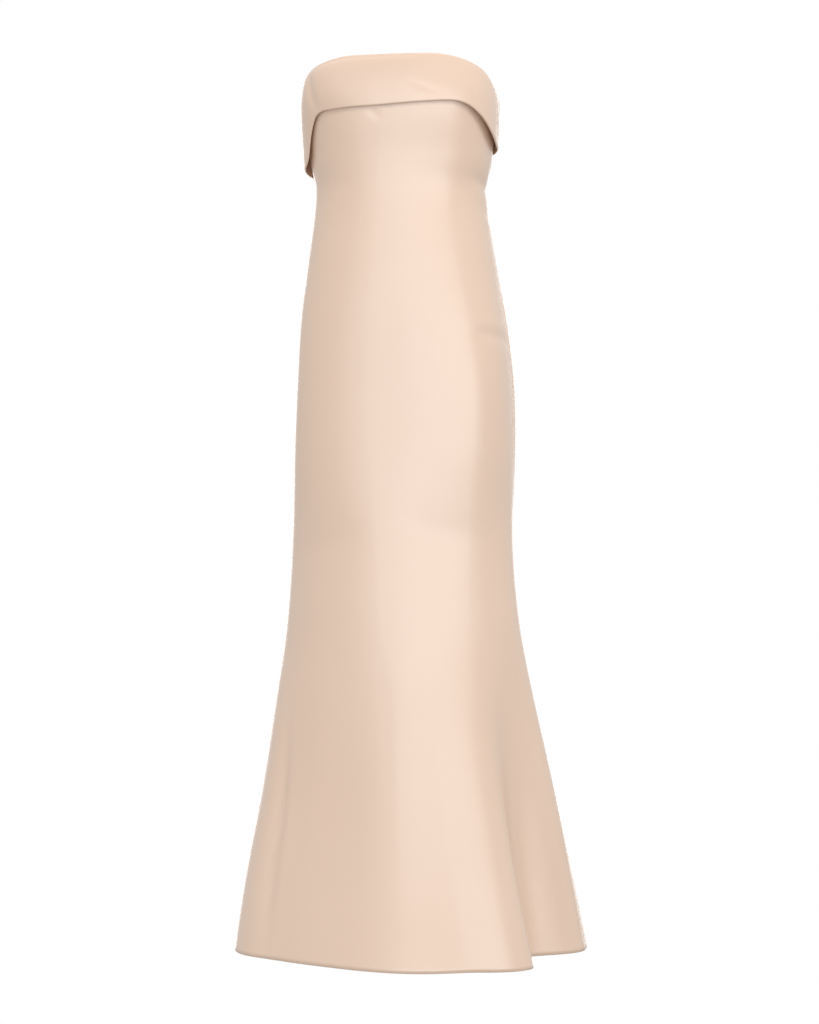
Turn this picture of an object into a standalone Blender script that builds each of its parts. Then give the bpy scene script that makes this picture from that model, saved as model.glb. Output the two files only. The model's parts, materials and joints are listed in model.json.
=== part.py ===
# Strapless column dress with a fold-over cuff, filled out as it is worn, open at the top and the hem.
# Sizes are in millimetres, and MM turns them into Blender's metres. +Z is up and -Y is the front.
# The origin is the middle of the body at the bust line, where the bodice grips its wearer.
# A turn goes round the body in degrees: 0 is the centre front, 90 the wearer's left, 180 the centre back.

import math
from collections import namedtuple

import bmesh
import bpy
from mathutils import Vector

MM = 0.001

# The cloth and its seams.
CLOTH = 1.6
SEAM_GAP = 0.4
SIDE_SEAM_TURN = 98.0
HEM_HEIGHT = -1296.0
NECK_FRONT, NECK_BACK = 62.0, -15.0
NECK_LEVEL_RIGHT, NECK_LEVEL_LEFT, NECK_LOW_TURN = 25.0, 35.0, 150.0

# How finely the panels are divided.
PANEL_ROWS = 30
ROW_START = 0.82
FRONT_COLUMNS = 32
BACK_COLUMNS = 13
TAPE_COLUMNS = 2
PROBE_TURN = 0.5

# The body of the dress: half its width, its depth before and behind the middle, how far the
# middle sways to the wearer's left, and how square the front is (2 is an ellipse).
Section = namedtuple("Section", "height side front back sway square")
SECTIONS = (
    Section(70, 138, 103, 80, 0, 2.7),
    Section(0, 144, 110, 92, 0, 2.8),
    Section(-85, 140, 103, 86, 0, 2.4),
    Section(-135, 132, 101, 80, 0, 2.3),
    Section(-240, 144, 104, 102, 1, 2.5),
    Section(-330, 157, 105, 126, 3, 2.7),
    Section(-430, 165, 104, 132, 6, 2.9),
    Section(-520, 169, 106, 128, 5, 2.7),
    Section(-660, 172, 112, 119, 1, 2.1),
    Section(-790, 182, 124, 125, 2, 2.0),
    Section(-900, 199, 137, 150, 5, 2.0),
    Section(-1050, 225, 162, 190, 12, 1.9),
    Section(-1180, 247, 191, 225, 15, 1.9),
    Section(-1300, 265, 224, 258, 19, 1.9),
)

# Long folds of the skirt: where each lies at the hem, how far it has turned where it starts, the
# height where it starts, its depth at the hem (out is positive) and its half width in degrees.
Fold = namedtuple("Fold", "turn lean start depth width")
FOLDS = (
    Fold(-24, -2, -700, -11, 36),
    Fold(-67, -5, -820, 20, 24),
    Fold(17, 5, -500, 4, 20),
    Fold(51, -8, -760, 16, 18),
    Fold(78, -3, -780, -68, 22),
    Fold(115, -3, -860, 12, 19),
    Fold(-96, -12, -860, -36, 24),
    Fold(-122, 4, -900, 20, 22),
    Fold(150, 0, -880, -24, 20),
    Fold(-152, 0, -880, -24, 20),
    Fold(180, 0, -820, 14, 20),
)
FOLD_GROWTH = 0.8

# The cuff: its lower edge and how far that edge stands off the bodice, round the body.
CuffPoint = namedtuple("CuffPoint", "turn edge stand")
CUFF_POINTS = (
    CuffPoint(-180, -88, 5),
    CuffPoint(-140, -100, 7),
    CuffPoint(-105, -106, 11),
    CuffPoint(-80, -99, 9),
    CuffPoint(-66, -86, 6),
    CuffPoint(-58, -50, 4),
    CuffPoint(-50, -22, 3),
    CuffPoint(-38, -15, 1.5),
    CuffPoint(0, -12, 1.5),
    CuffPoint(34, -8, 1.5),
    CuffPoint(50, -7, 3),
    CuffPoint(58, -13, 5),
    CuffPoint(66, -27, 8),
    CuffPoint(78, -51, 9),
    CuffPoint(90, -66, 7),
    CuffPoint(105, -72, 5),
    CuffPoint(140, -84, 5),
    CuffPoint(180, -88, 5),
)
CUFF_CLOTH = 2.0
CUFF_GAP = 0.8
CUFF_FACING = 8.0
CUFF_ROLL_STEPS = 4
CUFF_FALL_STEPS = 6
CUFF_BACK_GAP = 10.0
CUFF_BELLY = 2.0
CUFF_STAND_GROWTH = 1.4

# The hidden zip at the centre back.
ZIP_TAPE_WIDTH, ZIP_TAPE_CLOTH = 11.0, 1.0
ZIP_TAPE_GAP = 0.4
ZIP_ROWS, ZIP_START, SLIDER_START = 12, 0.35, 0.52
ZIP_PARTING, ZIP_PARTED_ABOVE, ZIP_CLOSED_BELOW = 1.3, -44.0, -60.0
SLIDER_PLATE = (5.4, 1.2, 9.0)
SLIDER_INNER_PLATE = (5.4, 1.2, 8.0)
SLIDER_NECK_WIDTH, SLIDER_NECK_LENGTH = 1.5, 5.0
SLIDER_CLEARANCE = 0.6
HINGE_RISE = 2.2
PIN_RADIUS = 0.55
EAR_RADIUS, EAR_THICKNESS = 1.7, 0.9
KNUCKLE_RADIUS, KNUCKLE_HOLE, KNUCKLE_LENGTH = 1.6, 0.95, 2.2
EAR_CLEARANCE = 0.35
FOOT_SLIMNESS = 0.97
TAB_THICKNESS, TAB_NECK_LENGTH, TAB_LENGTH = 0.9, 3.2, 24.0
TAB_NECK_WIDTH, TAB_NECK_OVERLAP = 2.15, 1.0
TAB_TOP_WIDTH, TAB_BOTTOM_WIDTH = 3.4, 5.0
ROD_SIDES, TAB_END_STEPS = 16, 8

# Turns a rod that stands along Z until it lies along X.
QUARTER_TURN = Vector((0, 0, 1)).rotation_difference(Vector((1, 0, 0))).to_matrix()

SATIN = ((0.84, 0.68, 0.55), 0.38, 0.0)
TAPE = ((0.82, 0.68, 0.57), 0.8, 0.0)
METAL = ((0.80, 0.68, 0.58), 0.3, 0.6)


def smooth(share):
    """0 to 1 with level ends."""
    share = min(1.0, max(0.0, share))
    return share * share * (3 - 2 * share)


def wrapped(turn):
    """The same turn from -180 to 180."""
    return (turn + 180) % 360 - 180


def along(table, key, column, place):
    """A column of a table at a place on its key column, on a smooth curve through the rows."""
    rows = sorted(table, key=lambda row: getattr(row, key))
    keys = [getattr(row, key) for row in rows]
    values = [getattr(row, column) for row in rows]
    place = min(keys[-1], max(keys[0], place))
    last = len(rows) - 1
    i = max(k for k in range(last) if keys[k] <= place)

    def slope(k):
        before, after = max(k - 1, 0), min(k + 1, last)
        return (values[after] - values[before]) / (keys[after] - keys[before])

    step = keys[i + 1] - keys[i]
    t = (place - keys[i]) / step
    start = values[i] * (1 + 2 * t) * (1 - t) ** 2 + slope(i) * step * t * (1 - t) ** 2
    end = values[i + 1] * t * t * (3 - 2 * t) + slope(i + 1) * step * t * t * (t - 1)
    return start + end


def fold_depth(fold, turn, height):
    """How far a fold moves the cloth out at a place on the skirt."""
    fallen = (fold.start - height) / (fold.start - HEM_HEIGHT)
    across = wrapped(turn - fold.turn - fold.lean * (1 - fallen)) / fold.width
    if fallen <= 0 or abs(across) >= 1:
        return 0.0
    return fold.depth * smooth(fallen) ** FOLD_GROWTH * (0.5 + 0.5 * math.cos(math.pi * across))


def outer_point(turn, height):
    """A point on the outside of the cloth, in millimetres."""
    side, front, back, sway, square = (
        along(SECTIONS, "height", column, height)
        for column in ("side", "front", "back", "sway", "square")
    )
    sine, cosine = math.sin(math.radians(turn)), math.cos(math.radians(turn))
    depth = front if cosine > 0 else back
    radius = (abs(sine / side) ** square + abs(cosine / depth) ** square) ** (-1 / square)
    radius += sum(fold_depth(fold, turn, height) for fold in FOLDS)
    return Vector((sway + radius * sine, -radius * cosine, height))


def cloth_across(turn, height):
    """The way along the cloth at that place, twice PROBE_TURN long."""
    return outer_point(turn + PROBE_TURN, height) - outer_point(turn - PROBE_TURN, height)


def level_normal(turn, height):
    """The level direction out of the cloth at that place."""
    across = cloth_across(turn, height)
    return Vector((across.y, -across.x, 0)).normalized()


def moved_out(turn, height, distance):
    """The point of the cloth, moved out by a distance."""
    return outer_point(turn, height) + level_normal(turn, height) * distance


def turn_for(distance, turn, height):
    """How many degrees a distance along the cloth takes up at that place."""
    return distance * 2 * PROBE_TURN / cloth_across(turn, height).length


def neck_height(turn):
    """The top edge of the bodice, level across the front and lower behind."""
    turn = wrapped(turn)
    level = NECK_LEVEL_LEFT if turn > 0 else NECK_LEVEL_RIGHT
    fall = (abs(turn) - level) / (NECK_LOW_TURN - level)
    return NECK_FRONT + (NECK_BACK - NECK_FRONT) * smooth(fall)


def zip_parting(height):
    """Half the gap between the two sides of the zip, which opens out round its slider."""
    open_share = smooth((height - ZIP_CLOSED_BELOW) / (ZIP_PARTED_ABOVE - ZIP_CLOSED_BELOW))
    return SEAM_GAP / 2 + (ZIP_PARTING - SEAM_GAP / 2) * open_share


def new_material(name, finish):
    """A material from its colour, roughness and metallic value."""
    colour, roughness, metallic = finish
    material = bpy.data.materials.new(name)
    material.use_nodes = True
    shader = material.node_tree.nodes["Principled BSDF"]
    shader.inputs["Base Color"].default_value = (*colour, 1)
    shader.inputs["Roughness"].default_value = roughness
    shader.inputs["Metallic"].default_value = metallic
    return material


def new_object(name, bm, material):
    """An object from a bmesh in millimetres."""
    bmesh.ops.scale(bm, vec=(MM, MM, MM), verts=bm.verts)
    mesh = bpy.data.meshes.new(name)
    bm.to_mesh(mesh)
    bm.free()
    mesh.materials.append(material)
    mesh.shade_smooth()
    thing = bpy.data.objects.new(name, mesh)
    bpy.context.scene.collection.objects.link(thing)
    return thing


def cloth_wall(columns, rows, place):
    """A closed wall of cloth. place(across, down, inside) gives a point of its outer or inner side."""
    bm = bmesh.new()
    bmesh.ops.create_grid(bm, x_segments=columns, y_segments=rows, size=0.5)
    made = bmesh.ops.extrude_face_region(bm, geom=bm.faces[:])["geom"]
    inner_side = {item for item in made if isinstance(item, bmesh.types.BMVert)}
    for vert in bm.verts:
        vert.co = place(vert.co.x + 0.5, 0.5 - vert.co.y, vert in inner_side)
    bmesh.ops.recalc_face_normals(bm, faces=bm.faces)
    if bm.calc_volume(signed=True) < 0:
        bmesh.ops.reverse_faces(bm, faces=bm.faces)
    return bm


def row_height(turn, down):
    """The height at a share of the way down a panel, whose rows stand closer at the top."""
    top = neck_height(turn)
    return top + (HEM_HEIGHT - top) * down * (ROW_START + (1 - ROW_START) * down)


def make_panel(name, columns, first_edge, last_edge, material):
    """One panel of the dress, from its first edge to its last, whose turns depend on height."""

    def turn_at(height, across):
        return first_edge(height) + (last_edge(height) - first_edge(height)) * across

    def place(across, down, inside):
        turn = turn_at(row_height(turn_at(0, across), down), across)
        return moved_out(turn, row_height(turn, down), -CLOTH if inside else 0)

    return new_object(name, cloth_wall(columns, PANEL_ROWS, place), material)


def seam_edge(turn, side):
    """The edge of a panel at a side seam; side is 1 for the panel at larger turns, or -1."""

    def edge(height):
        return turn + side * turn_for(SEAM_GAP / 2, turn, height)

    return edge


def zip_edge(turn, side):
    """The edge of a back panel along the zip."""

    def edge(height):
        return turn + side * turn_for(zip_parting(height), turn, height)

    return edge


def make_panels(material):
    """The front panel and the two back panels."""
    make_panel(
        "front_panel", FRONT_COLUMNS,
        seam_edge(-SIDE_SEAM_TURN, 1), seam_edge(SIDE_SEAM_TURN, -1), material,
    )
    make_panel(
        "back_left_panel", BACK_COLUMNS,
        seam_edge(SIDE_SEAM_TURN, 1), zip_edge(180, -1), material,
    )
    make_panel(
        "back_right_panel", BACK_COLUMNS,
        zip_edge(-180, 1), seam_edge(-SIDE_SEAM_TURN, -1), material,
    )


def cuff_point(turn, step, inside):
    """A point of the cuff: up its facing, over the rolled top and down the outside."""
    top = neck_height(turn)
    roll = CLOTH / 2 + CUFF_GAP + (0 if inside else CUFF_CLOTH)
    if step == 0:
        return moved_out(turn, top - CUFF_FACING, -CLOTH / 2 - roll)
    if step <= CUFF_ROLL_STEPS:
        angle = math.pi * (step - 1) / (CUFF_ROLL_STEPS - 1)
        out = -CLOTH / 2 - roll * math.cos(angle)
        return moved_out(turn, top, out) + Vector((0, 0, roll * math.sin(angle)))
    share = (step - CUFF_ROLL_STEPS) / CUFF_FALL_STEPS
    edge = along(CUFF_POINTS, "turn", "edge", turn)
    stand = along(CUFF_POINTS, "turn", "stand", turn)
    belly = CUFF_BELLY * math.sin(math.pi * share)
    out = roll - CLOTH / 2 + stand * share ** CUFF_STAND_GROWTH + belly
    return moved_out(turn, top + (edge - top) * share, out)


def make_cuff_piece(name, columns, first_edge, last_edge, material):
    """One piece of the folded band that hangs over the top of the bodice."""
    steps = CUFF_ROLL_STEPS + CUFF_FALL_STEPS
    parting = 180 - turn_for(CUFF_BACK_GAP / 2, 180, 0)

    def place(across, down, inside):
        turn = first_edge(0) + (last_edge(0) - first_edge(0)) * across
        return cuff_point(max(-parting, min(parting, turn)), round(steps * down), inside)

    return new_object(name, cloth_wall(columns, steps, place), material)


def make_cuff(material):
    """The cuff, seamed at the sides as the panels are and parted at the centre back."""
    make_cuff_piece(
        "cuff_front", FRONT_COLUMNS,
        seam_edge(-SIDE_SEAM_TURN, 1), seam_edge(SIDE_SEAM_TURN, -1), material,
    )
    make_cuff_piece(
        "cuff_back_left", BACK_COLUMNS,
        seam_edge(SIDE_SEAM_TURN, 1), lambda height: 180, material,
    )
    make_cuff_piece(
        "cuff_back_right", BACK_COLUMNS,
        lambda height: -180, seam_edge(-SIDE_SEAM_TURN, -1), material,
    )


def make_zip_tape(name, side, material):
    """One tape of the zip, flat behind the back panel; side is 1 for the wearer's left."""

    def at_row(row, across, inside):
        height = row_height(180, row / PANEL_ROWS)
        offset = zip_parting(height) + ZIP_TAPE_WIDTH * (across if side < 0 else 1 - across)
        behind = CLOTH + ZIP_TAPE_GAP + (ZIP_TAPE_CLOTH if inside else 0)
        return moved_out(side * (180 - turn_for(offset, 180, height)), height, -behind)

    def place(across, down, inside):
        row = round(ZIP_ROWS * down)
        if row > 0:
            return at_row(row, across, inside)
        return at_row(0, across, inside).lerp(at_row(1, across, inside), ZIP_START)

    return new_object(name, cloth_wall(TAPE_COLUMNS, ZIP_ROWS, place), material)


def block(bm, size, centre):
    """A box in the bmesh."""
    made = bmesh.ops.create_cube(bm, size=1)["verts"]
    bmesh.ops.scale(bm, vec=size, verts=made)
    bmesh.ops.translate(bm, vec=centre, verts=made)


def cross_rod(bm, radius, length, centre):
    """A round rod along X in the bmesh."""
    made = bmesh.ops.create_cone(
        bm, cap_ends=True, segments=ROD_SIDES, radius1=radius, radius2=radius, depth=length
    )["verts"]
    bmesh.ops.rotate(bm, verts=made, cent=(0, 0, 0), matrix=QUARTER_TURN)
    bmesh.ops.translate(bm, vec=centre, verts=made)


def helper(name, build):
    """A hidden solid for a Boolean, made by build(bm)."""
    bm = bmesh.new()
    build(bm)
    thing = new_object(name, bm, bpy.data.materials["zip_metal"])
    thing.hide_render = True
    thing.display_type = "WIRE"
    return thing


def add_boolean(thing, operation, other):
    """Joins a helper to an object or cuts it away."""
    change = thing.modifiers.new(other.name, "BOOLEAN")
    change.operation = operation
    change.solver = "EXACT"
    change.object = other


def zip_face():
    """The point of the closed back that the slider's middle lies over."""
    top, below = (outer_point(180, row_height(180, row / PANEL_ROWS)) for row in (0, 1))
    return top.lerp(below, SLIDER_START)


def zip_hinge():
    """The middle of the slider's pin."""
    return zip_face() + Vector((0, SLIDER_CLEARANCE + SLIDER_PLATE[1] + HINGE_RISE, 0))


def make_slider(material):
    """The slider: an outer and an inner plate joined by a neck, with two ears and a pin."""
    face = zip_face()
    hinge = zip_hinge()
    outer_y = face.y + SLIDER_CLEARANCE + SLIDER_PLATE[1] / 2
    inner_face = face.y - CLOTH - ZIP_TAPE_GAP - ZIP_TAPE_CLOTH - SLIDER_CLEARANCE
    inner_y = inner_face - SLIDER_INNER_PLATE[1] / 2
    bm = bmesh.new()
    block(bm, SLIDER_PLATE, (0, outer_y, face.z))
    slider = new_object("zip_slider", bm, material)
    add_boolean(slider, "UNION", helper(
        "slider_inner", lambda m: block(m, SLIDER_INNER_PLATE, (0, inner_y, face.z))
    ))
    neck = (SLIDER_NECK_WIDTH, outer_y - inner_y, SLIDER_NECK_LENGTH)
    add_boolean(slider, "UNION", helper(
        "slider_neck", lambda m: block(m, neck, (0, (outer_y + inner_y) / 2, face.z))
    ))
    ear_x = KNUCKLE_LENGTH / 2 + EAR_CLEARANCE + EAR_THICKNESS / 2
    root = HINGE_RISE + SLIDER_PLATE[1] / 2
    for side, word in ((-1, "right"), (1, "left")):
        x = side * ear_x

        def ear(m, x=x):
            cross_rod(m, EAR_RADIUS, EAR_THICKNESS, (x, hinge.y, hinge.z))

        def foot(m, x=x):
            size = (EAR_THICKNESS * FOOT_SLIMNESS, root, 2 * EAR_RADIUS * FOOT_SLIMNESS)
            block(m, size, (x, hinge.y - root / 2, hinge.z))

        add_boolean(slider, "UNION", helper(f"slider_foot_{word}", foot))
        add_boolean(slider, "UNION", helper(f"slider_ear_{word}", ear))
    pin_length = 2 * ear_x
    add_boolean(slider, "UNION", helper(
        "slider_pin", lambda m: cross_rod(m, PIN_RADIUS, pin_length, hinge)
    ))


def make_pull(material):
    """The pull tab, hung on the slider's pin, with its origin on the pin's axis."""
    hinge = zip_hinge()
    plate_y = KNUCKLE_RADIUS - TAB_THICKNESS / 2
    neck = (TAB_NECK_WIDTH, TAB_THICKNESS, TAB_NECK_LENGTH + TAB_NECK_OVERLAP)
    bm = bmesh.new()
    cross_rod(bm, KNUCKLE_RADIUS, KNUCKLE_LENGTH, (0, 0, 0))
    pull = new_object("zip_pull", bm, material)
    pull.location = hinge * MM
    parts = [
        ("pull_neck", lambda m: block(m, neck, (0, plate_y, -neck[2] / 2)), "UNION"),
        ("pull_tab", lambda m: tab_plate(m, plate_y), "UNION"),
        ("pull_hole", lambda m: cross_rod(m, KNUCKLE_HOLE, KNUCKLE_LENGTH * 2, (0, 0, 0)), "DIFFERENCE"),
    ]
    for name, build, operation in parts:
        part = helper(name, build)
        part.location = hinge * MM
        add_boolean(pull, operation, part)


def tab_plate(bm, plate_y):
    """The flat of the tab, wider at its round lower end."""
    top, low = -TAB_NECK_LENGTH, -TAB_LENGTH + TAB_BOTTOM_WIDTH / 2
    outline = [(-TAB_TOP_WIDTH / 2, top), (TAB_TOP_WIDTH / 2, top)]
    for step in range(TAB_END_STEPS + 1):
        angle = math.pi * step / TAB_END_STEPS
        outline.append((
            TAB_BOTTOM_WIDTH / 2 * math.cos(angle), low - TAB_BOTTOM_WIDTH / 2 * math.sin(angle)
        ))
    verts = [bm.verts.new((x, plate_y - TAB_THICKNESS / 2, z)) for x, z in outline]
    face = bm.faces.new(verts)
    made = bmesh.ops.extrude_face_region(bm, geom=[face])["geom"]
    moved = [item for item in made if isinstance(item, bmesh.types.BMVert)]
    bmesh.ops.translate(bm, vec=(0, TAB_THICKNESS, 0), verts=moved)
    bmesh.ops.recalc_face_normals(bm, faces=bm.faces)


def main():
    """Builds the dress."""
    for old in list(bpy.data.objects):
        bpy.data.objects.remove(old)
    satin = new_material("satin", SATIN)
    tape = new_material("zip_tape", TAPE)
    metal = new_material("zip_metal", METAL)
    make_panels(satin)
    make_cuff(satin)
    make_zip_tape("zip_tape_left", 1, tape)
    make_zip_tape("zip_tape_right", -1, tape)
    make_slider(metal)
    make_pull(metal)


main()
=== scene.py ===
# A strapless column dress in heavy satin with a band folded over at the top, and a hidden zip behind.
# Lengths in the dictionaries are millimetres. A turn goes round the body in degrees:
# 0 is the centre front, 90 the wearer's left, 180 the centre back.

import json
import math
from collections import namedtuple

import bmesh
import bpy
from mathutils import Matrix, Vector


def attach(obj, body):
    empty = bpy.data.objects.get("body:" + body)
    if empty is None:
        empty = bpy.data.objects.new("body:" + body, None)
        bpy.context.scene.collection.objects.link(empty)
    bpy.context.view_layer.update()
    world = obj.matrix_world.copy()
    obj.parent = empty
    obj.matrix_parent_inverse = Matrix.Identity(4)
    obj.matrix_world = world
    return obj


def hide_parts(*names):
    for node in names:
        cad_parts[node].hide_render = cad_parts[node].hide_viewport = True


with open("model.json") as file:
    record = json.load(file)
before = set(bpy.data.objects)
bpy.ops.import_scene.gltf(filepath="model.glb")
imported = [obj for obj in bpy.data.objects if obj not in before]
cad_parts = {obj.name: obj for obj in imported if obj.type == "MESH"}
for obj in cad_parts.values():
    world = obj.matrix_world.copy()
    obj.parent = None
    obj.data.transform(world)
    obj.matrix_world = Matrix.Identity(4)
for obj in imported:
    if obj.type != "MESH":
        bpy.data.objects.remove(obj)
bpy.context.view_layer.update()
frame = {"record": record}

scene = bpy.context.scene
mm = 0.001

# The garment's form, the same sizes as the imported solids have.
garment = {
    "hem": -1296.0,
    "neckFront": 62.0, "neckBack": -15.0,
    "neckLevelRight": 25.0, "neckLevelLeft": 35.0, "neckLow": 150.0,
    "rowStart": 0.82,
    "sideSeam": 98.0, "seamGap": 0.3,
    "foldGrowth": 0.8,
    "clothPerDegree": 2.7,  # how much cloth a degree of turn takes, on average
}
Section = namedtuple("Section", "height side front back sway square")
sections = (
    Section(70, 138, 103, 80, 0, 2.7),
    Section(0, 144, 110, 92, 0, 2.8),
    Section(-85, 140, 103, 86, 0, 2.4),
    Section(-135, 132, 101, 80, 0, 2.3),
    Section(-240, 144, 104, 102, 1, 2.5),
    Section(-330, 157, 105, 126, 3, 2.7),
    Section(-430, 165, 104, 132, 6, 2.9),
    Section(-520, 169, 106, 128, 5, 2.7),
    Section(-660, 172, 112, 119, 1, 2.1),
    Section(-790, 182, 124, 125, 2, 2.0),
    Section(-900, 199, 137, 150, 5, 2.0),
    Section(-1050, 225, 162, 190, 12, 1.9),
    Section(-1180, 247, 191, 225, 15, 1.9),
    Section(-1300, 265, 224, 258, 19, 1.9),
)
Fold = namedtuple("Fold", "turn lean start depth width")
folds = (
    Fold(-24, -2, -700, -11, 36),
    Fold(-67, -5, -820, 20, 24),
    Fold(17, 5, -500, 4, 20),
    Fold(51, -8, -760, 16, 18),
    Fold(78, -3, -780, -68, 22),
    Fold(115, -3, -860, 12, 19),
    Fold(-96, -12, -860, -36, 24),
    Fold(-122, 4, -900, 20, 22),
    Fold(150, 0, -880, -24, 20),
    Fold(-152, 0, -880, -24, 20),
    Fold(180, 0, -820, 14, 20),
)

# Soft creases pressed into the cloth: from one place to another, how wide and how deep.
Crease = namedtuple("Crease", "turnA heightA turnB heightB width depth")
bodyCreases = (
    Crease(-59, -985, -53, -1262, 5, -6.0),
    Crease(-66, -960, -60, -1270, 14, 3.0),
    Crease(62, -352, 94, -362, 9, -1.6),
    Crease(58, -338, 84, -344, 12, 1.0),
    Crease(-11, -20, -3, -27, 4, -0.8),
    Crease(70, -118, 112, -140, 9, -1.6),
    Crease(-76, -124, -116, -142, 9, -1.4),
    Crease(76, -160, 104, -176, 10, -1.0),
    Crease(118, -150, 158, -176, 12, -2.0),
    Crease(-120, -156, -160, -180, 12, -2.0),
    Crease(132, -128, 170, -144, 9, -1.4),
    Crease(-136, -132, -171, -150, 9, -1.2),
    Crease(126, -470, 160, -500, 16, -1.4),
    Crease(-130, -486, -158, -508, 15, -1.2),
    Crease(-86, -420, -112, -452, 14, -1.2),
    Crease(20, -640, 66, -668, 26, -1.2),
    Crease(-22, -652, -62, -690, 26, -1.2),
    Crease(110, -640, 150, -664, 20, -1.6),
    Crease(-108, -636, -150, -668, 20, -1.6),
)


def smooth(share):
    share = min(1.0, max(0.0, share))
    return share * share * (3 - 2 * share)


def bump(off):  # 1 in the middle, and fading to both sides
    return math.exp(-off ** 2)


def wrapped(turn):
    return (turn + 180) % 360 - 180


def curve(table, key, columns, place):  # smooth curves through the rows of a table
    keys = [getattr(row, key) for row in table]
    if keys[0] > keys[-1]:
        table, keys = table[::-1], keys[::-1]
    place = min(keys[-1], max(keys[0], place))
    last = len(keys) - 1
    i = 0
    while i < last - 1 and keys[i + 1] <= place:
        i += 1
    step = keys[i + 1] - keys[i]
    t = (place - keys[i]) / step
    before, after = max(i - 1, 0), min(i + 2, last)
    found = []
    for column in columns:
        a, b = getattr(table[i], column), getattr(table[i + 1], column)
        slopeA = (b - getattr(table[before], column)) / (keys[i + 1] - keys[before])
        slopeB = (getattr(table[after], column) - a) / (keys[after] - keys[i])
        start = a * (1 + 2 * t) * (1 - t) ** 2 + slopeA * step * t * (1 - t) ** 2
        found.append(start + b * t * t * (3 - 2 * t) + slopeB * step * t * t * (t - 1))
    return found


def foldDepth(fold, turn, height):
    fallen = (fold.start - height) / (fold.start - garment["hem"])
    if fallen <= 0:
        return 0.0
    across = wrapped(turn - fold.turn - fold.lean * (1 - fallen)) / fold.width
    if abs(across) >= 1:
        return 0.0
    growth = smooth(fallen) ** garment["foldGrowth"]
    return fold.depth * growth * (0.5 + 0.5 * math.cos(math.pi * across))


def creaseDepth(crease, turn, height):
    degree = garment["clothPerDegree"]
    ax, ay = 0.0, crease.heightA
    bx, by = (crease.turnB - crease.turnA) * degree, crease.heightB
    px, py = wrapped(turn - crease.turnA) * degree, height
    dx, dy = bx - ax, by - ay
    length = math.hypot(dx, dy)
    t = ((px - ax) * dx + (py - ay) * dy) / (length * length)
    if t < -0.3 or t > 1.3:
        return 0.0
    off = ((px - ax) * dy - (py - ay) * dx) / length / crease.width
    if abs(off) > 3:
        return 0.0
    ends = smooth((t + 0.3) / 0.6) * smooth((1.3 - t) / 0.6)
    return crease.depth * ends * math.exp(-off * off)


def outerPoint(turn, height, creases=()):
    side, front, back, sway, square = curve(
        sections, "height", ("side", "front", "back", "sway", "square"), height
    )
    sine, cosine = math.sin(math.radians(turn)), math.cos(math.radians(turn))
    depth = front if cosine > 0 else back
    radius = (abs(sine / side) ** square + abs(cosine / depth) ** square) ** (-1 / square)
    if height < -500:
        radius += sum(foldDepth(fold, turn, height) for fold in folds)
    radius += sum(creaseDepth(crease, turn, height) for crease in creases)
    return Vector((sway + radius * sine, -radius * cosine, height))


def acrossCloth(turn, height):
    return outerPoint(turn + 0.5, height) - outerPoint(turn - 0.5, height)


def movedOut(turn, height, distance, creases=()):
    across = acrossCloth(turn, height)
    normal = Vector((across.y, -across.x, 0)).normalized()
    return outerPoint(turn, height, creases) + normal * distance


def turnFor(distance, turn, height):
    return distance / acrossCloth(turn, height).length


def neckHeight(turn):
    turn = wrapped(turn)
    level = garment["neckLevelLeft"] if turn > 0 else garment["neckLevelRight"]
    fall = (abs(turn) - level) / (garment["neckLow"] - level)
    return garment["neckFront"] + (garment["neckBack"] - garment["neckFront"]) * smooth(fall)


def rowHeight(turn, down):
    top = neckHeight(turn)
    start = garment["rowStart"]
    return top + (garment["hem"] - top) * down * (start + (1 - start) * down)


# Shader maths as plain expressions on sockets.
class Val:
    def __init__(self, tree, socket):
        self.tree, self.socket = tree, socket

    def math(self, operation, *values):
        return self.tree.node("ShaderNodeMath", {"operation": operation}, [self, *values])

    def __add__(self, other): return self.math("ADD", other)
    def __radd__(self, other): return self.math("ADD", other)
    def __sub__(self, other): return self.math("SUBTRACT", other)
    def __rsub__(self, other): return (self * -1) + other
    def __mul__(self, other): return self.math("MULTIPLY", other)
    def __rmul__(self, other): return self.math("MULTIPLY", other)
    def __truediv__(self, other): return self.math("DIVIDE", other)

    def sin(self): return self.math("SINE")
    def clamped(self): return self.math("MAXIMUM", 0.0).math("MINIMUM", 1.0)
    def range(self, low, high): return ((self - low) / (high - low)).clamped()


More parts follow.
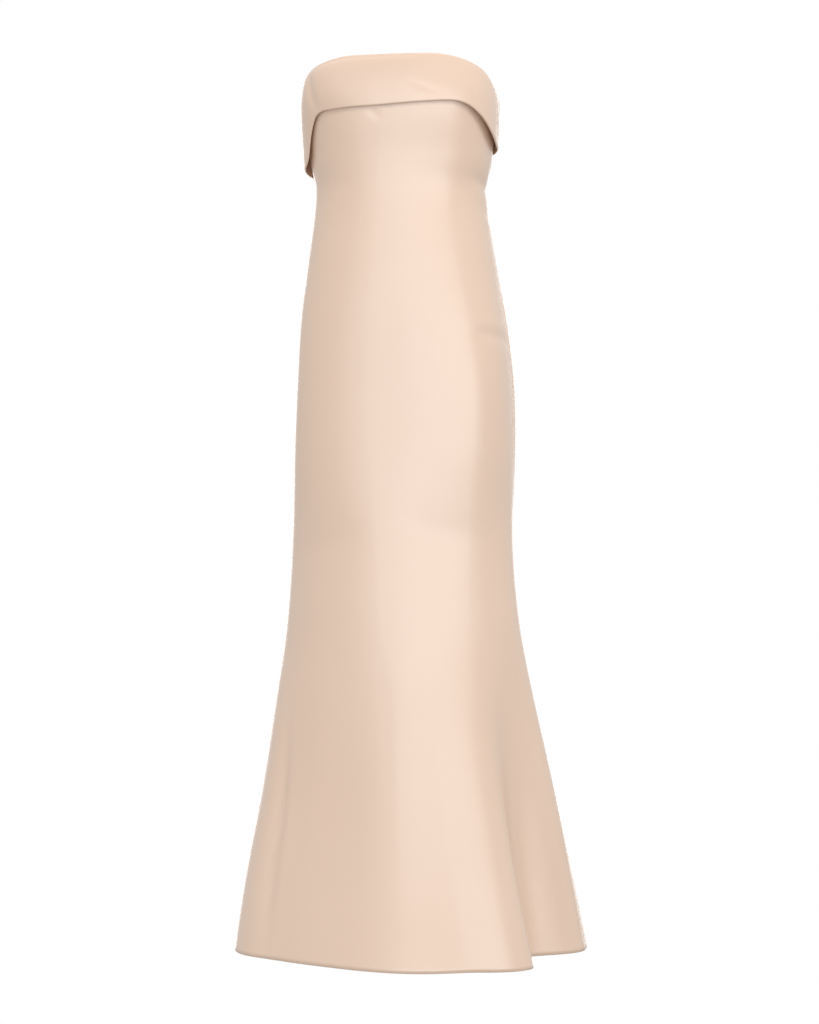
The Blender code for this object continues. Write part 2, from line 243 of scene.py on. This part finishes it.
class Finish:
    def __init__(self, name, shader):
        self.material = bpy.data.materials.new(name)
        self.material.use_nodes = True
        self.nodes, self.links = self.material.node_tree.nodes, self.material.node_tree.links
        self.shader = self.nodes["Principled BSDF"]
        for socket, value in shader.items():
            self.shader.inputs[socket].default_value = value

    def node(self, kind, settings=None, inputs=(), output=0):
        made = self.nodes.new(kind)
        for key, value in (settings or {}).items():
            setattr(made, key, value)
        pairs = inputs.items() if isinstance(inputs, dict) else enumerate(inputs)
        for key, value in pairs:
            self.put(made.inputs[key], value)
        return Val(self, made.outputs[output])

    def put(self, socket, value):
        if isinstance(value, Val):
            self.links.new(value.socket, socket)
        else:
            socket.default_value = value

    def mix(self, factor, a, b, blend="MIX"):
        made = self.nodes.new("ShaderNodeMix")
        made.data_type, made.blend_type = "RGBA", blend
        self.put(made.inputs["Factor"], factor)
        self.put(made.inputs["A"], a)
        self.put(made.inputs["B"], b)
        return Val(self, made.outputs["Result"])

    def noise(self, place, scale, detail=2.0, roughness=0.5):
        inputs = {"Vector": place, "Scale": scale, "Detail": detail, "Roughness": roughness}
        return self.node("ShaderNodeTexNoise", {}, inputs)

    def bump(self, height, strength, distance, onto=None):
        inputs = {"Height": height, "Strength": strength, "Distance": distance}
        if onto:
            inputs["Normal"] = onto
        return self.node("ShaderNodeBump", {}, inputs)

    def objectPlace(self):
        return self.node("ShaderNodeTexCoord", output="Object")

    def clothPlace(self):  # the cloth's own grid, in metres along the weft and the warp
        uv = self.node("ShaderNodeUVMap", {"uv_map": "cloth"})
        split = self.nodes.new("ShaderNodeSeparateXYZ")
        self.put(split.inputs[0], uv)
        return Val(self, split.outputs[0]), Val(self, split.outputs[1]), uv


satinLook = {
    "light": (0.820, 0.619, 0.484, 1), "deep": (0.768, 0.557, 0.421, 1),
    "roughness": 0.25, "gloss": 0.9, "sheen": 0.05, "thread": 0.00042,
}


def makeSatin(name, look, reverse=False):
    finish = Finish(name, {
        "IOR": 1.5, "Sheen Weight": look["sheen"], "Sheen Roughness": 0.4,
        "Sheen Tint": (1.0, 0.93, 0.86, 1), "Specular IOR Level": look["gloss"],
    })
    weft, warp, uv = finish.clothPlace()
    place = finish.objectPlace()
    drift = finish.noise(place, 3.2, 3.0)
    fine = finish.noise(uv, 260.0, 2.0)
    colour = finish.mix(drift * 0.9 + fine * 0.1, look["light"], look["deep"])
    if reverse:
        colour = finish.mix(0.35, colour, look["deep"])
    finish.put(finish.shader.inputs["Base Color"], colour)
    rough = look["roughness"] + (0.16 if reverse else 0.0)
    finish.put(finish.shader.inputs["Roughness"], fine * 0.03 + (rough - 0.015))
    turns = 2 * math.pi / look["thread"]
    threads = (weft * turns).sin() * 0.5 + (warp * (turns / 5) + weft * turns).sin() * 0.5
    slub = finish.noise(uv, 45.0, 3.0)
    normal = finish.bump(threads, 0.12, 0.00006)
    normal = finish.bump(slub, 0.22, 0.0005, normal)
    finish.put(finish.shader.inputs["Normal"], normal)
    return finish.material


def makeTape(name, colour):
    finish = Finish(name, {"Sheen Weight": 0.1})
    place = finish.objectPlace()
    split = finish.nodes.new("ShaderNodeSeparateXYZ")
    finish.put(split.inputs[0], place)
    across, up = Val(finish, split.outputs[0]), Val(finish, split.outputs[2])
    ribs = (across * (2 * math.pi / 0.0008)).sin() * (up * (2 * math.pi / 0.0012)).sin()
    darker = [c * 0.86 for c in colour]
    tint = finish.mix(finish.noise(place, 180.0) * 0.5, (*colour, 1), (*darker, 1))
    finish.put(finish.shader.inputs["Base Color"], tint)
    finish.put(finish.shader.inputs["Roughness"], ribs * 0.05 + 0.75)
    finish.put(finish.shader.inputs["Normal"], finish.bump(ribs, 0.5, 0.0002))
    return finish.material


def makeEnamel(name, colour):
    finish = Finish(name, {"Metallic": 0.0, "Coat Roughness": 0.15, "IOR": 1.5})
    place = finish.objectPlace()
    worn = finish.noise(place, 700.0, 3.0).range(0.55, 0.75)
    tint = finish.mix(worn * 0.25, (*colour, 1), (0.9, 0.82, 0.74, 1))
    finish.put(finish.shader.inputs["Base Color"], tint)
    finish.put(finish.shader.inputs["Roughness"], worn * 0.15 + 0.24)
    finish.put(finish.shader.inputs["Coat Weight"], 0.5 - worn * 0.3)
    finish.put(finish.shader.inputs["Normal"], finish.bump(finish.noise(place, 900.0), 0.15, 0.0001))
    return finish.material


def makeNylon(name, colour):
    finish = Finish(name, {"IOR": 1.5})
    place = finish.objectPlace()
    finish.put(finish.shader.inputs["Base Color"], finish.mix(
        finish.noise(place, 300.0), (*colour, 1), (*[c * 0.9 for c in colour], 1)
    ))
    finish.put(finish.shader.inputs["Roughness"], finish.noise(place, 900.0) * 0.1 + 0.35)
    return finish.material


satin = makeSatin("satin", satinLook)
satinReverse = makeSatin("satin reverse", satinLook, reverse=True)
tapeCloth = makeTape("zip tape", (0.80, 0.66, 0.54))
enamel = makeEnamel("enamelled metal", (0.80, 0.66, 0.55))
nylon = makeNylon("zip coil", (0.80, 0.67, 0.56))
print("materials made")


# Cloth: a grid laid on the garment's form, with its own grid kept as a UV map in metres.
def clothSheet(name, columns, rows, place, materials, thickness, bevel=0.0):
    bm = bmesh.new()
    bmesh.ops.create_grid(bm, x_segments=columns, y_segments=rows, size=0.5)
    layer = bm.loops.layers.uv.new("cloth")
    flat = {}
    for vert in bm.verts:
        vert.co, flat[vert] = place(vert.co.x + 0.5, 0.5 - vert.co.y)
    for face in bm.faces:
        face.smooth = True
        for loop in face.loops:
            loop[layer].uv = [v * mm for v in flat[loop.vert]]
    bmesh.ops.scale(bm, vec=(mm, mm, mm), verts=bm.verts)
    bmesh.ops.recalc_face_normals(bm, faces=bm.faces)
    middle = min(bm.faces, key=lambda f: (f.calc_center_median() - Vector((0, 0, -0.4))).length)
    outwards = middle.calc_center_median().xy.to_3d()
    if middle.normal.dot(outwards) < 0:
        bmesh.ops.reverse_faces(bm, faces=bm.faces)
    piece = meshObject(name, bm, materials)
    wall = piece.modifiers.new("cloth", "SOLIDIFY")
    wall.thickness, wall.offset = thickness * mm, -1
    wall.use_even_offset = True
    if len(materials) > 1:
        wall.material_offset = 1
    if bevel:
        edge = piece.modifiers.new("edge", "BEVEL")
        edge.width, edge.segments, edge.limit_method = bevel * mm, 3, "ANGLE"
        edge.angle_limit = math.radians(50)
        edge.harden_normals = False
    return piece


def meshObject(name, bm, materials):
    mesh = bpy.data.meshes.new(name)
    bm.to_mesh(mesh)
    bm.free()
    for material in materials:
        mesh.materials.append(material)
    piece = bpy.data.objects.new(name, mesh)
    scene.collection.objects.link(piece)
    return piece


def denser(share, amount=0.85):  # more columns close to both edges
    return share - amount * math.sin(2 * math.pi * share) / (2 * math.pi)


# The three panels.
panels = {
    "rows": 240, "frontColumns": 150, "backColumns": 72, "thickness": 1.0,
    "seamDip": 0.7, "seamDipWidth": 2.6,
}
zipSizes = {
    "partedAbove": -37.0, "closedBelow": -52.0, "parting": 1.3,
    "tapeWidth": 11.0, "tapeThickness": 0.7, "tapeBehind": 1.5,
    "top": -27.0, "bottom": -470.0, "toothPitch": 1.5,
    "coilTop": -40.0, "coilWidth": 1.9, "coilDepth": 0.9, "wire": 0.26,
}


def zipParting(height):
    low, high = zipSizes["closedBelow"], zipSizes["partedAbove"]
    share = smooth((height - low) / (high - low))
    closed = garment["seamGap"] / 2
    return closed + (zipSizes["parting"] - closed) * share


def seamEdge(turn, side):
    return lambda height: turn + side * turnFor(garment["seamGap"] / 2, turn, height)


def zipEdge(turn, side):
    return lambda height: turn + side * turnFor(zipParting(height), turn, height)


def makePanel(name, node, columns, firstEdge, lastEdge):
    def place(across, down):
        turn = (firstEdge(0) + lastEdge(0)) / 2
        for _ in range(2):
            height = rowHeight(turn, down)
            first, last = firstEdge(height), lastEdge(height)
            turn = first + (last - first) * denser(across)
        degree = acrossCloth(turn, height).length
        edge = min(turn - first, last - turn) * degree
        dip = panels["seamDip"] * math.exp(-(edge / panels["seamDipWidth"]) ** 2)
        point = movedOut(turn, height, -dip, bodyCreases)
        return point, (turn * garment["clothPerDegree"], height)

    panel = clothSheet(
        name, columns, panels["rows"], place, [satin, satinReverse], panels["thickness"]
    )
    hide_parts(node)
    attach(panel, "dress")
    return panel


side = garment["sideSeam"]
frontShell = makePanel(
    "front_cloth", "front_panel", panels["frontColumns"], seamEdge(-side, 1), seamEdge(side, -1)
)
backLeftShell = makePanel(
    "back_left_cloth", "back_left_panel", panels["backColumns"], seamEdge(side, 1), zipEdge(180, -1)
)
backRightShell = makePanel(
    "back_right_cloth", "back_right_panel", panels["backColumns"], zipEdge(-180, 1), seamEdge(-side, -1)
)
print("panels made")


# The cuff: sewn inside the top edge, rolled over it and hanging outside.
CuffPoint = namedtuple("CuffPoint", "turn edge stand")
cuffPoints = (
    CuffPoint(-180, -88, 5),
    CuffPoint(-140, -100, 7),
    CuffPoint(-105, -106, 11),
    CuffPoint(-80, -99, 9),
    CuffPoint(-66, -86, 6),
    CuffPoint(-58, -50, 4),
    CuffPoint(-50, -22, 3),
    CuffPoint(-38, -15, 1.5),
    CuffPoint(0, -12, 1.5),
    CuffPoint(34, -8, 1.5),
    CuffPoint(50, -7, 3),
    CuffPoint(58, -13, 5),
    CuffPoint(66, -27, 8),
    CuffPoint(78, -51, 9),
    CuffPoint(90, -66, 7),
    CuffPoint(105, -72, 5),
    CuffPoint(140, -84, 5),
    CuffPoint(180, -88, 5),
)
cuff = {
    "thickness": 1.6, "panel": 1.6, "gap": 1.2, "facing": 8.0, "curl": 2.2,
    "facingRows": 3, "rollRows": 12, "fallRows": 26, "curlRows": 5,
    "frontColumns": 170, "backColumns": 70,
    "belly": 3.5, "bellyRise": 0.45, "corner": 5.0, "cornerTurn": -48.0, "cornerWidth": 15.0,
    "slack": 3.2, "slackTurn": 46.0, "slackWidth": 22.0,
    "backGap": 10.0, "roundEdge": 0.5,
}
cuffCreases = (
    Crease(-56, 42, -50, -8, 7, -2.2),
    Crease(22, 22, 40, 4, 6, -0.6),
    Crease(12, 52, 20, 42, 9, -0.4),
    Crease(96, 18, 104, -52, 10, -1.8),
    Crease(-108, 8, -116, -84, 12, -2.0),
    Crease(136, -24, 150, -70, 12, -1.6),
    Crease(-140, -26, -152, -82, 12, -1.6),
)


def cuffPoint(turn, row):
    top = neckHeight(turn)
    half = cuff["panel"] / 2
    roll = half + cuff["gap"] + cuff["thickness"]
    facing, rolled = cuff["facingRows"], cuff["facingRows"] + cuff["rollRows"]
    if row < facing:
        down = cuff["facing"] * (1 - row / facing)
        return movedOut(turn, top - down, -half - roll), -down
    if row <= rolled:
        angle = math.pi * (row - facing) / cuff["rollRows"]
        point = movedOut(turn, top, -half - roll * math.cos(angle))
        return point + Vector((0, 0, roll * math.sin(angle))), roll * angle
    share = min(1.0, (row - rolled) / cuff["fallRows"])
    edge, stand = curve(cuffPoints, "turn", ("edge", "stand"), turn)
    edge += cuff["curl"]
    height = top + (edge - top) * share
    belly = cuff["belly"] + cuff["corner"] * bump((turn - cuff["cornerTurn"]) / cuff["cornerWidth"])
    belly -= cuff["slack"] * bump((turn - cuff["slackTurn"]) / cuff["slackWidth"])
    out = roll - half + stand * share ** 1.4 + belly * math.sin(math.pi * share ** cuff["bellyRise"])
    out += sum(creaseDepth(c, turn, height) for c in cuffCreases)
    length = roll * math.pi + (top - edge) * share
    curled = max(0, row - rolled - cuff["fallRows"]) / cuff["curlRows"] * math.pi / 2
    out -= cuff["curl"] * (1 - math.cos(curled))
    point = movedOut(turn, height, out) - Vector((0, 0, cuff["curl"] * math.sin(curled)))
    return point, length + cuff["curl"] * curled


def makeCuff(name, node, columns, firstEdge, lastEdge):
    rows = cuff["facingRows"] + cuff["rollRows"] + cuff["fallRows"] + cuff["curlRows"]
    parting = 180 - turnFor(cuff["backGap"] / 2, 180, 0)

    def place(across, down):
        first, last = max(-parting, firstEdge(0)), min(parting, lastEdge(0))
        turn = first + (last - first) * across
        point, along = cuffPoint(turn, round(rows * down))
        return point, (turn * garment["clothPerDegree"], along)

    piece = clothSheet(name, columns, rows, place, [satin], cuff["thickness"], cuff["roundEdge"])
    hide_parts(node)
    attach(piece, "dress")
    return piece


cuffFront = makeCuff(
    "cuff_front_cloth", "cuff_front", cuff["frontColumns"], seamEdge(-side, 1), seamEdge(side, -1)
)
cuffBackLeft = makeCuff(
    "cuff_back_left_cloth", "cuff_back_left", cuff["backColumns"], seamEdge(side, 1), lambda height: 180
)
cuffBackRight = makeCuff(
    "cuff_back_right_cloth", "cuff_back_right", cuff["backColumns"], lambda height: -180, seamEdge(-side, -1)
)
print("cuff made")

# The hidden zip: two tapes behind the back panels, a coil on each, the slider and its pull tab.
def makeTapeStrip(name, node, side):
    def place(across, down):
        height = zipSizes["top"] + (zipSizes["bottom"] - zipSizes["top"]) * down
        offset = zipParting(height) + 0.1 + zipSizes["tapeWidth"] * (across if side < 0 else 1 - across)
        point = movedOut(side * (180 - turnFor(offset, 180, height)), height, -zipSizes["tapeBehind"])
        return point, (side * offset, height)

    strip = clothSheet(name, 6, 150, place, [tapeCloth], zipSizes["tapeThickness"])
    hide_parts(node)
    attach(strip, "dress")
    return strip


def makeCoil(name, side):
    curve = bpy.data.curves.new(name, "CURVE")
    curve.dimensions, curve.bevel_depth, curve.bevel_resolution = "3D", zipSizes["wire"] * mm, 1
    steps, pitch = 10, zipSizes["toothPitch"]
    turns = int((zipSizes["coilTop"] - zipSizes["bottom"] - 6) / pitch)
    line = curve.splines.new("POLY")
    line.points.add(turns * steps)
    for i, point in enumerate(line.points):
        angle = 2 * math.pi * i / steps
        height = zipSizes["coilTop"] - pitch * i / steps - (pitch / 2 if side > 0 else 0)
        offset = zipParting(height) + zipSizes["coilWidth"] * (0.5 - 0.5 * math.cos(angle)) - 0.1
        behind = zipSizes["tapeBehind"] + zipSizes["tapeThickness"] + zipSizes["wire"]
        behind += zipSizes["coilDepth"] * (0.5 - 0.5 * math.sin(angle))
        place = movedOut(side * (180 - turnFor(offset, 180, height)), height, -behind) * mm
        point.co = (*place, 1)
    curve.materials.append(nylon)
    coil = bpy.data.objects.new(name, curve)
    scene.collection.objects.link(coil)
    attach(coil, "dress")


for word, way in (("left", 1), ("right", -1)):
    tape = makeTapeStrip(f"zip_tape_{word}_cloth", f"zip_tape_{word}", way)
    makeCoil(f"zip_coil_{word}", way)

hinge = Vector(frame["record"]["behaviour"]["joints"][0]["pos_m"]) / mm
slider = {
    "face": hinge - Vector((0, 4.0, 0)), "clearance": 0.6,
    "plate": (5.4, 1.2, 9.0), "innerPlate": (5.4, 1.2, 8.0), "taper": 0.82, "corner": 1.5, "edge": 0.22,
    "neckWidth": 1.5, "neckLength": 5.0, "behind": 3.6,
    "earX": 1.9, "earRadius": 1.7, "earThickness": 0.9, "earDrop": 2.8,
    "pinRadius": 0.55, "pinLength": 4.6,
}
pull = {
    "radius": 1.6, "hole": 0.95, "length": 2.2, "edge": 0.2, "thickness": 0.9,
    "neckWidth": 2.1, "neckLength": 3.4, "topWidth": 3.4, "bottomWidth": 5.0, "tabLength": 24.0,
    "rim": 0.55, "recess": 0.14,
}


def joinInto(bm, part, centre):  # each bit of metal is shaped on its own, then set in its place
    bmesh.ops.translate(part, vec=centre, verts=part.verts)
    carrier = bpy.data.meshes.new("carrier")
    part.to_mesh(carrier)
    part.free()
    bm.from_mesh(carrier)
    bpy.data.meshes.remove(carrier)


def plateInto(bm, size, centre, corner=0.0, edge=0.2, taper=1.0):
    part = bmesh.new()
    bmesh.ops.create_cube(part, size=1)
    bmesh.ops.scale(part, vec=size, verts=part.verts)
    for vert in part.verts:
        if vert.co.z < 0:
            vert.co.x *= taper
    if corner:
        upright = [e for e in part.edges if abs(e.verts[0].co.y - e.verts[1].co.y) > size[1] / 2]
        bmesh.ops.bevel(
            part, geom=upright, offset=corner, segments=5, profile=0.5, affect="EDGES", material=-1
        )
    sharp = [e for e in part.edges if e.calc_face_angle(0) > 0.7]
    bmesh.ops.bevel(part, geom=sharp, offset=edge, segments=3, profile=0.5, affect="EDGES", material=-1)
    joinInto(bm, part, centre)


def ringInto(bm, outer, inner, length, centre, edge, steps=40):
    half = length / 2
    profile = [(-half + edge, outer), (half - edge, outer), (half, outer - edge)]
    if inner:
        profile += [(half, inner + edge), (half - edge, inner), (-half + edge, inner), (-half, inner + edge)]
    else:
        profile += [(half, 0.001), (-half, 0.001)]
    profile.append((-half, outer - edge))
    part = bmesh.new()
    verts = [part.verts.new((x, 0, r)) for x, r in profile]
    edges = [part.edges.new((verts[i - 1], verts[i])) for i in range(len(verts))]
    bmesh.ops.spin(
        part, geom=verts + edges, cent=(0, 0, 0), axis=(1, 0, 0), angle=2 * math.pi, steps=steps, use_merge=True
    )
    bmesh.ops.remove_doubles(part, verts=part.verts, dist=0.002)
    joinInto(bm, part, centre)


def smoothMetal(name, bm, node, body):
    bmesh.ops.recalc_face_normals(bm, faces=bm.faces)
    bmesh.ops.scale(bm, vec=(mm, mm, mm), verts=bm.verts)
    for face in bm.faces:
        face.smooth = True
    for sharp in bm.edges:
        if sharp.calc_face_angle(0) > 0.9:
            sharp.smooth = False
    piece = meshObject(name, bm, [enamel])
    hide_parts(node)
    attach(piece, body)
    return piece


def makeSlider():
    bm = bmesh.new()
    face, depth = slider["face"], slider["plate"][1]
    outer = face + Vector((0, slider["clearance"] + depth / 2, 0))
    inner = face - Vector((0, slider["behind"] + depth / 2, 0))
    plateInto(bm, slider["plate"], outer, slider["corner"], slider["edge"], slider["taper"])
    plateInto(bm, slider["innerPlate"], inner, slider["corner"], slider["edge"], slider["taper"])
    plateInto(bm, (slider["neckWidth"], (outer - inner).y, slider["neckLength"]), (outer + inner) / 2, 0.4)
    for way in (-1, 1):
        ear = Vector((way * slider["earX"], hinge.y, hinge.z))
        ringInto(bm, slider["earRadius"], 0, slider["earThickness"], ear, slider["edge"])
        foot = (slider["earThickness"] - 0.04, slider["earDrop"], 2 * slider["earRadius"] - 0.1)
        plateInto(bm, foot, ear - Vector((0, slider["earDrop"] / 2, 0)), 0, 0.12)
    ringInto(bm, slider["pinRadius"], 0, slider["pinLength"], hinge, 0.15, 24)
    return smoothMetal("slider_body", bm, "zip_slider", "dress")


def makePull():
    bm = bmesh.new()
    back = pull["radius"] - pull["thickness"] / 2
    ringInto(bm, pull["radius"], pull["hole"], pull["length"], hinge, pull["edge"])
    neck = (pull["neckWidth"], pull["thickness"], pull["neckLength"])
    plateInto(bm, neck, hinge + Vector((0, back, -0.6 - pull["neckLength"] / 2)), 0, 0.15)
    half, wide = pull["topWidth"] / 2, pull["bottomWidth"] / 2
    top, low = -3.2, -pull["tabLength"] + wide
    outline = [(-half, top - 0.8), (-half + 0.8, top), (half - 0.8, top), (half, top - 0.8)]
    outline += [(wide * math.cos(math.pi * k / 14), low - wide * math.sin(math.pi * k / 14)) for k in range(15)]
    centre = hinge + Vector((0, back - pull["thickness"] / 2, 0))
    verts = [bm.verts.new(centre + Vector((x, 0, z))) for x, z in outline]
    face = bm.faces.new(verts)
    made = bmesh.ops.extrude_face_region(bm, geom=[face])["geom"]
    lifted = [g for g in made if isinstance(g, bmesh.types.BMVert)]
    bmesh.ops.translate(bm, vec=(0, pull["thickness"], 0), verts=lifted)
    plate = list({f for v in verts + lifted for f in v.link_faces})
    broad = sorted(plate, key=lambda f: f.calc_area())[-2:]
    rims = list({e for f in broad for e in f.edges})
    bmesh.ops.bevel(bm, geom=rims, offset=0.2, segments=3, profile=0.5, affect="EDGES", material=-1)
    tab = [f for f in bm.faces if len(f.verts) == len(outline)]
    for side in tab:
        bmesh.ops.inset_region(bm, faces=[side], thickness=pull["rim"], depth=-pull["recess"])
    return smoothMetal("pull_tab", bm, "zip_pull", "pull")


makeSlider()
makePull()
print("zip made")


# Light and camera: a wide, low wall of light far behind the camera, a weaker one behind the
# dress, and an even white room.
studio = {
    "roomSeen": 1.0, "roomHigh": 0.86, "roomLow": 0.555,
    "front": {"turn": 16.4, "rise": 2.7, "distance": 20.0, "width": 36.0, "height": 10.5, "power": 500},
    "sheen": {"turn": 16.4, "rise": 2.7, "distance": 20.0, "width": 36.0, "height": 10.5, "power": 4700},
    "top": {"turn": 34.0, "rise": 52.0, "distance": 4.0, "width": 1.0, "height": 1.0, "power": 50},
    "back": {"turn": 196.0, "rise": 4.0, "distance": 20.0, "width": 14.0, "height": 12.0, "power": 900},
}
camera = {
    "turn": 15.0, "distance": 4.3, "height": -0.56, "aimHeight": -0.624, "aimRight": 0.0123, "lens": 98.1,
}


def makeRoom():
    room = bpy.data.worlds.new("studio")
    room.use_nodes = True
    scene.world = room
    nodes, links = room.node_tree.nodes, room.node_tree.links
    background = nodes["Background"]
    background.inputs["Color"].default_value = (1, 1, 1, 1)
    path, place = nodes.new("ShaderNodeLightPath"), nodes.new("ShaderNodeTexCoord")
    split = nodes.new("ShaderNodeSeparateXYZ")
    links.new(place.outputs["Generated"], split.inputs[0])
    light, strength = nodes.new("ShaderNodeMapRange"), nodes.new("ShaderNodeMapRange")
    links.new(split.outputs[2], light.inputs["Value"])
    for key, value in (("From Min", -0.6), ("From Max", 0.6)):
        light.inputs[key].default_value = value
    light.inputs["To Min"].default_value = studio["roomLow"]
    light.inputs["To Max"].default_value = studio["roomHigh"]
    links.new(path.outputs["Is Camera Ray"], strength.inputs["Value"])
    links.new(light.outputs["Result"], strength.inputs["To Min"])
    strength.inputs["To Max"].default_value = studio["roomSeen"]
    links.new(strength.outputs["Result"], background.inputs["Strength"])


def makePanelLight(name, place):
    data = bpy.data.lights.new(name, "AREA")
    data.shape, data.size, data.size_y = "RECTANGLE", place["width"], place["height"]
    data.energy = place["power"]
    lamp = bpy.data.objects.new(name, data)
    scene.collection.objects.link(lamp)
    turn, rise = math.radians(place["turn"]), math.radians(place["rise"])
    level = Vector((math.sin(turn), -math.cos(turn), 0))
    aim = Vector((0, 0, -0.6))
    lamp.location = aim + (level * math.cos(rise) + Vector((0, 0, math.sin(rise)))) * place["distance"]
    lamp.rotation_euler = (aim - lamp.location).to_track_quat("-Z", "Y").to_euler()
    return lamp


def makeCamera():
    data = bpy.data.cameras.new("camera")
    data.lens, data.sensor_width, data.clip_end = camera["lens"], 36.0, 200
    view = bpy.data.objects.new("camera", data)
    scene.collection.objects.link(view)
    turn = math.radians(camera["turn"])
    right = Vector((math.cos(turn), math.sin(turn), 0))
    level = Vector((math.sin(turn), -math.cos(turn), 0))
    view.location = level * camera["distance"] + Vector((0, 0, camera["height"]))
    aim = right * camera["aimRight"] + Vector((0, 0, camera["aimHeight"]))
    view.rotation_euler = (aim - view.location).to_track_quat("-Z", "Y").to_euler()
    scene.camera = view


makeRoom()
makePanelLight("front_light", studio["front"])
makePanelLight("sheen_light", studio["sheen"]).visible_diffuse = False  # only for the satin's sheen
makePanelLight("top_light", studio["top"]).visible_glossy = False  # soft shadow under the cuff
makePanelLight("back_light", studio["back"])
makeCamera()
scene.view_settings.view_transform = "Standard"
print("studio made")
